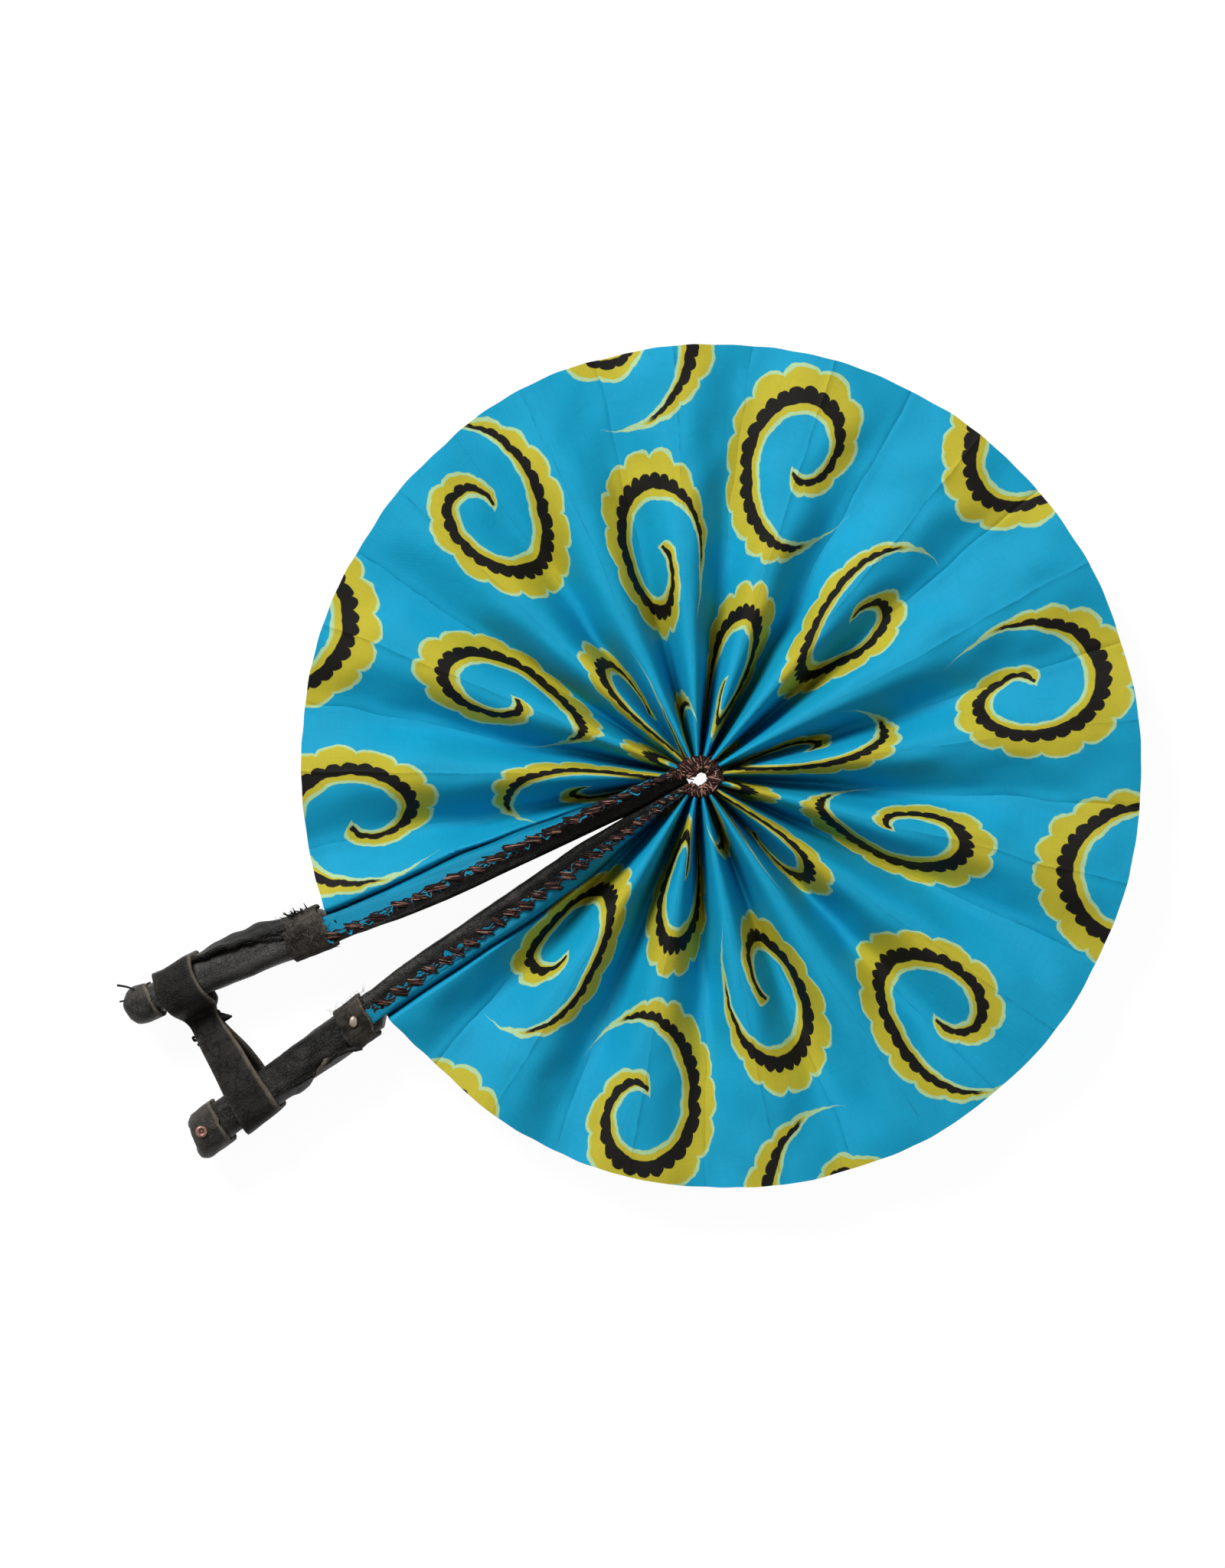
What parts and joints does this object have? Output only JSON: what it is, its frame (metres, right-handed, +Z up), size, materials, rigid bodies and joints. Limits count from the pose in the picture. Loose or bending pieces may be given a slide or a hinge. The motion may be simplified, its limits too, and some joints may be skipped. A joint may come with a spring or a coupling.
{
  "type": "folding fabric hand fan",
  "caption": "Round folding hand fan: a pleated printed cloth leaf turning about a stitched hub between two leather covered guard sticks, with a strap that joins the handles.",
  "frame": {"origin": "under the middle of the open fan's outline, on the surface that it lies on", "axes": "+X from the handles towards the leaf, +Z up out of the leaf's printed face, +Y towards the upper guard"},
  "size_m": [0.4495, 0.356, 0.0348],
  "materials": {
    "printed_cotton": "matt wax printed cotton",
    "lacing_thread": "waxed thread",
    "cover_leather": "worn black leather",
    "collar_leather": "rough cut leather",
    "cap_leather": "worn black leather",
    "strap_leather": "worn black leather, raw edges",
    "stick_wood": "plain wood, hidden",
    "tack_copper": "dull copper"
  },
  "bodies": {
    "upper_guard": {"upper_stick": "stick_wood", "upper_cover": "cover_leather", "upper_collar": "collar_leather", "upper_cap": "cap_leather", "upper_lacing": "lacing_thread"},
    "lower_guard": {"lower_stick": "stick_wood", "lower_cover": "cover_leather", "lower_collar": "collar_leather", "lower_cap": "cap_leather", "lower_lacing": "lacing_thread", "collar_tack": "tack_copper", "cap_tack": "tack_copper"},
    "keeper": {"keeper_strap": "strap_leather"},
    "pleat_02": {"hub_stitch_02": "lacing_thread"},
    "pleat_04": {"hub_stitch_04": "lacing_thread"},
    "pleat_06": {"hub_stitch_06": "lacing_thread"},
    "pleat_08": {"hub_stitch_08": "lacing_thread"},
    "pleat_10": {"hub_stitch_10": "lacing_thread"},
    "pleat_12": {"hub_stitch_12": "lacing_thread"},
    "pleat_14": {"hub_stitch_14": "lacing_thread"},
    "pleat_16": {"hub_stitch_16": "lacing_thread"},
    "pleat_18": {"hub_stitch_18": "lacing_thread"},
    "pleat_20": {"hub_stitch_20": "lacing_thread"},
    "pleat_22": {"hub_stitch_22": "lacing_thread"},
    "pleat_24": {"hub_stitch_24": "lacing_thread"},
    "pleat_26": {"hub_stitch_26": "lacing_thread"},
    "pleat_28": {"hub_stitch_28": "lacing_thread"},
    "pleat_30": {"hub_stitch_30": "lacing_thread"},
    "leaf_01": {"panel_01": "printed_cotton"},
    "leaf_02": {"panel_02": "printed_cotton"},
    "leaf_03": {"panel_03": "printed_cotton"},
    "leaf_04": {"panel_04": "printed_cotton"},
    "leaf_05": {"panel_05": "printed_cotton"},
    "leaf_06": {"panel_06": "printed_cotton"},
    "leaf_07": {"panel_07": "printed_cotton"},
    "leaf_08": {"panel_08": "printed_cotton"},
    "leaf_09": {"panel_09": "printed_cotton"},
    "leaf_10": {"panel_10": "printed_cotton"},
    "leaf_11": {"panel_11": "printed_cotton"},
    "leaf_12": {"panel_12": "printed_cotton"},
    "leaf_13": {"panel_13": "printed_cotton"},
    "leaf_14": {"panel_14": "printed_cotton"},
    "leaf_15": {"panel_15": "printed_cotton"},
    "leaf_16": {"panel_16": "printed_cotton"},
    "leaf_17": {"panel_17": "printed_cotton"},
    "leaf_18": {"panel_18": "printed_cotton"},
    "leaf_19": {"panel_19": "printed_cotton"},
    "leaf_20": {"panel_20": "printed_cotton"},
    "leaf_21": {"panel_21": "printed_cotton"},
    "leaf_22": {"panel_22": "printed_cotton"},
    "leaf_23": {"panel_23": "printed_cotton"},
    "leaf_24": {"panel_24": "printed_cotton"},
    "leaf_25": {"panel_25": "printed_cotton"},
    "leaf_26": {"panel_26": "printed_cotton"},
    "leaf_27": {"panel_27": "printed_cotton"},
    "leaf_28": {"panel_28": "printed_cotton"},
    "leaf_29": {"panel_29": "printed_cotton"},
    "leaf_30": {"panel_30": "printed_cotton"},
    "leaf_31": {"panel_31": "printed_cotton"},
    "leaf_32": {"panel_32": "printed_cotton"}
  },
  "joints": [
    {"name": "fold", "type": "hinge", "parent": "upper_guard", "child": "lower_guard", "pos_m": [0.03675, 0, 0], "axis": [0, 0, 1], "range_deg": [0, 331.2], "deforming": ["panel_01", "panel_02", "panel_03", "panel_04", "panel_05", "panel_06", "panel_07", "panel_08", "panel_09", "panel_10", "panel_11", "panel_12", "panel_13", "panel_14", "panel_15", "panel_16", "panel_17", "panel_18", "panel_19", "panel_20", "panel_21", "panel_22", "panel_23", "panel_24", "panel_25", "panel_26", "panel_27", "panel_28", "panel_29", "panel_30", "panel_31", "panel_32", "hub_stitch_02", "hub_stitch_04", "hub_stitch_06", "hub_stitch_08", "hub_stitch_10", "hub_stitch_12", "hub_stitch_14", "hub_stitch_16", "hub_stitch_18", "hub_stitch_20", "hub_stitch_22", "hub_stitch_24", "hub_stitch_26", "hub_stitch_28", "hub_stitch_30", "keeper_strap"]},
    {"name": "pleat_turn_02", "type": "hinge", "parent": "upper_guard", "child": "pleat_02", "pos_m": [0.03675, 0, 0], "axis": [0, 0, 1], "range_deg": [0, 20.7]},
    {"name": "pleat_turn_04", "type": "hinge", "parent": "upper_guard", "child": "pleat_04", "pos_m": [0.03675, 0, 0], "axis": [0, 0, 1], "range_deg": [0, 41.4]},
    {"name": "pleat_turn_06", "type": "hinge", "parent": "upper_guard", "child": "pleat_06", "pos_m": [0.03675, 0, 0], "axis": [0, 0, 1], "range_deg": [0, 62.1]},
    {"name": "pleat_turn_08", "type": "hinge", "parent": "upper_guard", "child": "pleat_08", "pos_m": [0.03675, 0, 0], "axis": [0, 0, 1], "range_deg": [0, 82.8]},
    {"name": "pleat_turn_10", "type": "hinge", "parent": "upper_guard", "child": "pleat_10", "pos_m": [0.03675, 0, 0], "axis": [0, 0, 1], "range_deg": [0, 103.5]},
    {"name": "pleat_turn_12", "type": "hinge", "parent": "upper_guard", "child": "pleat_12", "pos_m": [0.03675, 0, 0], "axis": [0, 0, 1], "range_deg": [0, 124.2]},
    {"name": "pleat_turn_14", "type": "hinge", "parent": "upper_guard", "child": "pleat_14", "pos_m": [0.03675, 0, 0], "axis": [0, 0, 1], "range_deg": [0, 144.9]},
    {"name": "pleat_turn_16", "type": "hinge", "parent": "upper_guard", "child": "pleat_16", "pos_m": [0.03675, 0, 0], "axis": [0, 0, 1], "range_deg": [0, 165.6]},
    {"name": "pleat_turn_18", "type": "hinge", "parent": "upper_guard", "child": "pleat_18", "pos_m": [0.03675, 0, 0], "axis": [0, 0, 1], "range_deg": [0, 186.3]},
    {"name": "pleat_turn_20", "type": "hinge", "parent": "upper_guard", "child": "pleat_20", "pos_m": [0.03675, 0, 0], "axis": [0, 0, 1], "range_deg": [0, 207]},
    {"name": "pleat_turn_22", "type": "hinge", "parent": "upper_guard", "child": "pleat_22", "pos_m": [0.03675, 0, 0], "axis": [0, 0, 1], "range_deg": [0, 227.7]},
    {"name": "pleat_turn_24", "type": "hinge", "parent": "upper_guard", "child": "pleat_24", "pos_m": [0.03675, 0, 0], "axis": [0, 0, 1], "range_deg": [0, 248.4]},
    {"name": "pleat_turn_26", "type": "hinge", "parent": "upper_guard", "child": "pleat_26", "pos_m": [0.03675, 0, 0], "axis": [0, 0, 1], "range_deg": [0, 269.1]},
    {"name": "pleat_turn_28", "type": "hinge", "parent": "upper_guard", "child": "pleat_28", "pos_m": [0.03675, 0, 0], "axis": [0, 0, 1], "range_deg": [0, 289.8]},
    {"name": "pleat_turn_30", "type": "hinge", "parent": "upper_guard", "child": "pleat_30", "pos_m": [0.03675, 0, 0], "axis": [0, 0, 1], "range_deg": [0, 310.5]},
    {"name": "panel_tilt_01", "type": "hinge", "parent": "upper_guard", "child": "leaf_01", "pos_m": [0.03675, 0, 0.033], "axis": [-0.9899, 0.1418, 0], "range_deg": [0, 81]},
    {"name": "panel_tilt_02", "type": "hinge", "parent": "pleat_02", "child": "leaf_02", "pos_m": [0.03675, 0, 0.033], "axis": [0.8692, -0.4944, 0], "range_deg": [0, 81]},
    {"name": "panel_tilt_03", "type": "hinge", "parent": "pleat_02", "child": "leaf_03", "pos_m": [0.03675, 0, 0.033], "axis": [-0.8692, 0.4944, 0], "range_deg": [0, 81]},
    {"name": "panel_tilt_04", "type": "hinge", "parent": "pleat_04", "child": "leaf_04", "pos_m": [0.03675, 0, 0.033], "axis": [0.6278, -0.7784, 0], "range_deg": [0, 81]},
    {"name": "panel_tilt_05", "type": "hinge", "parent": "pleat_04", "child": "leaf_05", "pos_m": [0.03675, 0, 0.033], "axis": [-0.6278, 0.7784, 0], "range_deg": [0, 81]},
    {"name": "panel_tilt_06", "type": "hinge", "parent": "pleat_06", "child": "leaf_06", "pos_m": [0.03675, 0, 0.033], "axis": [0.2991, -0.9542, 0], "range_deg": [0, 81]},
    {"name": "panel_tilt_07", "type": "hinge", "parent": "pleat_06", "child": "leaf_07", "pos_m": [0.03675, 0, 0.033], "axis": [-0.2991, 0.9542, 0], "range_deg": [0, 81]},
    {"name": "panel_tilt_08", "type": "hinge", "parent": "pleat_08", "child": "leaf_08", "pos_m": [0.03675, 0, 0.033], "axis": [-0.0711, -0.9975, 0], "range_deg": [0, 81]},
    {"name": "panel_tilt_09", "type": "hinge", "parent": "pleat_08", "child": "leaf_09", "pos_m": [0.03675, 0, 0.033], "axis": [0.0711, 0.9975, 0], "range_deg": [0, 81]},
    {"name": "panel_tilt_10", "type": "hinge", "parent": "pleat_10", "child": "leaf_10", "pos_m": [0.03675, 0, 0.033], "axis": [-0.4314, -0.9022, 0], "range_deg": [0, 81]},
    {"name": "panel_tilt_11", "type": "hinge", "parent": "pleat_10", "child": "leaf_11", "pos_m": [0.03675, 0, 0.033], "axis": [0.4314, 0.9022, 0], "range_deg": [0, 81]},
    {"name": "panel_tilt_12", "type": "hinge", "parent": "pleat_12", "child": "leaf_12", "pos_m": [0.03675, 0, 0.033], "axis": [-0.7318, -0.6815, 0], "range_deg": [0, 81]},
    {"name": "panel_tilt_13", "type": "hinge", "parent": "pleat_12", "child": "leaf_13", "pos_m": [0.03675, 0, 0.033], "axis": [0.7318, 0.6815, 0], "range_deg": [0, 81]},
    {"name": "panel_tilt_14", "type": "hinge", "parent": "pleat_14", "child": "leaf_14", "pos_m": [0.03675, 0, 0.033], "axis": [-0.9305, -0.3662, 0], "range_deg": [0, 81]},
    {"name": "panel_tilt_15", "type": "hinge", "parent": "pleat_14", "child": "leaf_15", "pos_m": [0.03675, 0, 0.033], "axis": [0.9305, 0.3662, 0], "range_deg": [0, 81]},
    {"name": "panel_tilt_16", "type": "hinge", "parent": "pleat_16", "child": "leaf_16", "pos_m": [0.03675, 0, 0.033], "axis": [-1, 0, 0], "range_deg": [0, 81]},
    {"name": "panel_tilt_17", "type": "hinge", "parent": "pleat_16", "child": "leaf_17", "pos_m": [0.03675, 0, 0.033], "axis": [1, 0, 0], "range_deg": [0, 81]},
    {"name": "panel_tilt_18", "type": "hinge", "parent": "pleat_18", "child": "leaf_18", "pos_m": [0.03675, 0, 0.033], "axis": [-0.9305, 0.3662, 0], "range_deg": [0, 81]},
    {"name": "panel_tilt_19", "type": "hinge", "parent": "pleat_18", "child": "leaf_19", "pos_m": [0.03675, 0, 0.033], "axis": [0.9305, -0.3662, 0], "range_deg": [0, 81]},
    {"name": "panel_tilt_20", "type": "hinge", "parent": "pleat_20", "child": "leaf_20", "pos_m": [0.03675, 0, 0.033], "axis": [-0.7318, 0.6815, 0], "range_deg": [0, 81]},
    {"name": "panel_tilt_21", "type": "hinge", "parent": "pleat_20", "child": "leaf_21", "pos_m": [0.03675, 0, 0.033], "axis": [0.7318, -0.6815, 0], "range_deg": [0, 81]},
    {"name": "panel_tilt_22", "type": "hinge", "parent": "pleat_22", "child": "leaf_22", "pos_m": [0.03675, 0, 0.033], "axis": [-0.4314, 0.9022, 0], "range_deg": [0, 81]},
    {"name": "panel_tilt_23", "type": "hinge", "parent": "pleat_22", "child": "leaf_23", "pos_m": [0.03675, 0, 0.033], "axis": [0.4314, -0.9022, 0], "range_deg": [0, 81]},
    {"name": "panel_tilt_24", "type": "hinge", "parent": "pleat_24", "child": "leaf_24", "pos_m": [0.03675, 0, 0.033], "axis": [-0.0711, 0.9975, 0], "range_deg": [0, 81]},
    {"name": "panel_tilt_25", "type": "hinge", "parent": "pleat_24", "child": "leaf_25", "pos_m": [0.03675, 0, 0.033], "axis": [0.0711, -0.9975, 0], "range_deg": [0, 81]},
    {"name": "panel_tilt_26", "type": "hinge", "parent": "pleat_26", "child": "leaf_26", "pos_m": [0.03675, 0, 0.033], "axis": [0.2991, 0.9542, 0], "range_deg": [0, 81]},
    {"name": "panel_tilt_27", "type": "hinge", "parent": "pleat_26", "child": "leaf_27", "pos_m": [0.03675, 0, 0.033], "axis": [-0.2991, -0.9542, 0], "range_deg": [0, 81]},
    {"name": "panel_tilt_28", "type": "hinge", "parent": "pleat_28", "child": "leaf_28", "pos_m": [0.03675, 0, 0.033], "axis": [0.6278, 0.7784, 0], "range_deg": [0, 81]},
    {"name": "panel_tilt_29", "type": "hinge", "parent": "pleat_28", "child": "leaf_29", "pos_m": [0.03675, 0, 0.033], "axis": [-0.6278, -0.7784, 0], "range_deg": [0, 81]},
    {"name": "panel_tilt_30", "type": "hinge", "parent": "pleat_30", "child": "leaf_30", "pos_m": [0.03675, 0, 0.033], "axis": [0.8692, 0.4944, 0], "range_deg": [0, 81]},
    {"name": "panel_tilt_31", "type": "hinge", "parent": "pleat_30", "child": "leaf_31", "pos_m": [0.03675, 0, 0.033], "axis": [-0.8692, -0.4944, 0], "range_deg": [0, 81]},
    {"name": "panel_tilt_32", "type": "hinge", "parent": "lower_guard", "child": "leaf_32", "pos_m": [0.03675, 0, 0.033], "axis": [0.9899, 0.1418, 0], "range_deg": [0, 81]},
    {"name": "keeper_slide", "type": "slide", "parent": "upper_guard", "child": "keeper", "axis": [0.9925, -0.1219, 0], "range_m": [0, 0.036]}
  ],
  "couplings": [
    {"joint": "pleat_turn_02", "follows": "fold", "ratio": 0.0625},
    {"joint": "pleat_turn_04", "follows": "fold", "ratio": 0.125},
    {"joint": "pleat_turn_06", "follows": "fold", "ratio": 0.1875},
    {"joint": "pleat_turn_08", "follows": "fold", "ratio": 0.25},
    {"joint": "pleat_turn_10", "follows": "fold", "ratio": 0.3125},
    {"joint": "pleat_turn_12", "follows": "fold", "ratio": 0.375},
    {"joint": "pleat_turn_14", "follows": "fold", "ratio": 0.4375},
    {"joint": "pleat_turn_16", "follows": "fold", "ratio": 0.5},
    {"joint": "pleat_turn_18", "follows": "fold", "ratio": 0.5625},
    {"joint": "pleat_turn_20", "follows": "fold", "ratio": 0.625},
    {"joint": "pleat_turn_22", "follows": "fold", "ratio": 0.6875},
    {"joint": "pleat_turn_24", "follows": "fold", "ratio": 0.75},
    {"joint": "pleat_turn_26", "follows": "fold", "ratio": 0.8125},
    {"joint": "pleat_turn_28", "follows": "fold", "ratio": 0.875},
    {"joint": "pleat_turn_30", "follows": "fold", "ratio": 0.9375},
    {"joint": "panel_tilt_01", "follows": "fold", "ratio": 0.24456},
    {"joint": "panel_tilt_02", "follows": "fold", "ratio": 0.24456},
    {"joint": "panel_tilt_03", "follows": "fold", "ratio": 0.24456},
    {"joint": "panel_tilt_04", "follows": "fold", "ratio": 0.24456},
    {"joint": "panel_tilt_05", "follows": "fold", "ratio": 0.24456},
    {"joint": "panel_tilt_06", "follows": "fold", "ratio": 0.24456},
    {"joint": "panel_tilt_07", "follows": "fold", "ratio": 0.24456},
    {"joint": "panel_tilt_08", "follows": "fold", "ratio": 0.24456},
    {"joint": "panel_tilt_09", "follows": "fold", "ratio": 0.24456},
    {"joint": "panel_tilt_10", "follows": "fold", "ratio": 0.24456},
    {"joint": "panel_tilt_11", "follows": "fold", "ratio": 0.24456},
    {"joint": "panel_tilt_12", "follows": "fold", "ratio": 0.24456},
    {"joint": "panel_tilt_13", "follows": "fold", "ratio": 0.24456},
    {"joint": "panel_tilt_14", "follows": "fold", "ratio": 0.24456},
    {"joint": "panel_tilt_15", "follows": "fold", "ratio": 0.24456},
    {"joint": "panel_tilt_16", "follows": "fold", "ratio": 0.24456},
    {"joint": "panel_tilt_17", "follows": "fold", "ratio": 0.24456},
    {"joint": "panel_tilt_18", "follows": "fold", "ratio": 0.24456},
    {"joint": "panel_tilt_19", "follows": "fold", "ratio": 0.24456},
    {"joint": "panel_tilt_20", "follows": "fold", "ratio": 0.24456},
    {"joint": "panel_tilt_21", "follows": "fold", "ratio": 0.24456},
    {"joint": "panel_tilt_22", "follows": "fold", "ratio": 0.24456},
    {"joint": "panel_tilt_23", "follows": "fold", "ratio": 0.24456},
    {"joint": "panel_tilt_24", "follows": "fold", "ratio": 0.24456},
    {"joint": "panel_tilt_25", "follows": "fold", "ratio": 0.24456},
    {"joint": "panel_tilt_26", "follows": "fold", "ratio": 0.24456},
    {"joint": "panel_tilt_27", "follows": "fold", "ratio": 0.24456},
    {"joint": "panel_tilt_28", "follows": "fold", "ratio": 0.24456},
    {"joint": "panel_tilt_29", "follows": "fold", "ratio": 0.24456},
    {"joint": "panel_tilt_30", "follows": "fold", "ratio": 0.24456},
    {"joint": "panel_tilt_31", "follows": "fold", "ratio": 0.24456},
    {"joint": "panel_tilt_32", "follows": "fold", "ratio": 0.24456}
  ]
}
